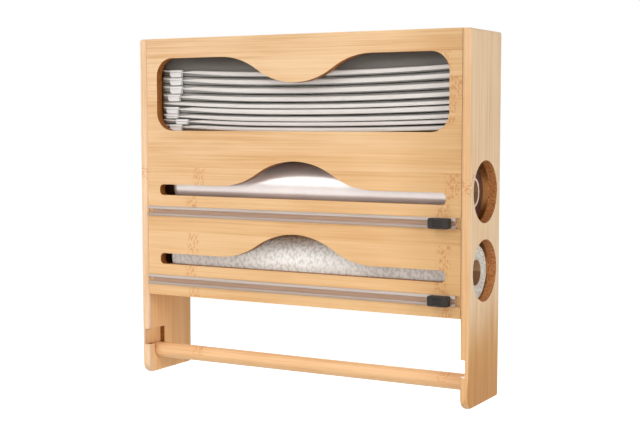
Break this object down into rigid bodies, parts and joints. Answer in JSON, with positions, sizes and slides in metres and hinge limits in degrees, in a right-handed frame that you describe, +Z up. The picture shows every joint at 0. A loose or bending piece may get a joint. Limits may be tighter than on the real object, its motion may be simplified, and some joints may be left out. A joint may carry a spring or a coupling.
{
  "type": "wall-mounted wrap dispenser",
  "caption": "Wall-hung bamboo kitchen dispenser with a window for zip bags, wave-edged slots for rolls of wrap, sliding cutters, loading ports in one side and a lift-out towel rod.",
  "frame": {"origin": "on the wall plane, midway between the entry holes of the keyhole hangers", "axes": "+X to the right along the front, +Y from the front to the wall, +Z up"},
  "size_m": [0.34, 0.078, 0.322],
  "materials": {
    "bamboo_front": "satin lacquer, grain across",
    "bamboo_side": "satin lacquer, grain upright",
    "bamboo_inner": "satin lacquer",
    "bamboo_rod": "satin lacquer, grain along",
    "dowel_wood": "raw",
    "screw_steel": "zinc plated",
    "hanger_steel": "zinc plated",
    "track_plastic": "clear, slightly grey",
    "cutter_black": "satin",
    "blade_steel": "ground",
    "core_board": "plain board",
    "wrap_film": "smooth film",
    "embossed_paper": "embossed",
    "bag_film": "clear film in shade",
    "zip_white": "satin"
  },
  "bodies": {
    "cabinet": {"left_side_panel": "bamboo_side", "right_side_panel": "bamboo_side", "front_panel": "bamboo_front", "back_panel": "bamboo_inner", "top_board": "bamboo_inner", "bag_shelf": "bamboo_inner", "roll_shelf": "bamboo_inner", "bottom_board": "bamboo_inner", "shelf_dowels": "dowel_wood", "front_panel_dowels": "dowel_wood", "back_panel_screws": "screw_steel", "hanger_plate_left": "hanger_steel", "hanger_plate_right": "hanger_steel", "hanger_screws": "screw_steel", "upper_track": "track_plastic", "lower_track": "track_plastic", "bag_1": "bag_film", "bag_2": "bag_film", "bag_3": "bag_film", "bag_4": "bag_film", "bag_5": "bag_film", "bag_6": "bag_film", "bag_7": "bag_film", "bag_8": "bag_film", "bag_9": "bag_film", "bag_zip_strips": "zip_white", "bag_sliders": "zip_white"},
    "upper_cutter": {"upper_cutter_cap": "cutter_black", "upper_cutter_shoe": "cutter_black", "upper_cutter_blade": "blade_steel"},
    "lower_cutter": {"lower_cutter_cap": "cutter_black", "lower_cutter_shoe": "cutter_black", "lower_cutter_blade": "blade_steel"},
    "upper_roll": {"film_core": "core_board", "film_roll": "wrap_film"},
    "lower_roll": {"paper_core": "core_board", "paper_roll": "embossed_paper"},
    "rod": {"towel_rod": "bamboo_rod"}
  },
  "joints": [
    {"name": "upper_cutter_slide", "type": "slide", "parent": "cabinet", "child": "upper_cutter", "axis": [-1, 0, 0], "range_m": [0, 0.2885]},
    {"name": "lower_cutter_slide", "type": "slide", "parent": "cabinet", "child": "lower_cutter", "axis": [-1, 0, 0], "range_m": [0, 0.2885]},
    {"name": "upper_roll_spin", "type": "hinge", "parent": "cabinet", "child": "upper_roll", "pos_m": [0, -0.0345, -0.107], "axis": [1, 0, 0], "continuous": true},
    {"name": "lower_roll_spin", "type": "hinge", "parent": "cabinet", "child": "lower_roll", "pos_m": [0, -0.0345, -0.1761], "axis": [1, 0, 0], "continuous": true},
    {"name": "towel_rod_lift", "type": "slide", "parent": "cabinet", "child": "rod", "axis": [0, 0, 1], "range_m": [0, 0.0144]}
  ]
}
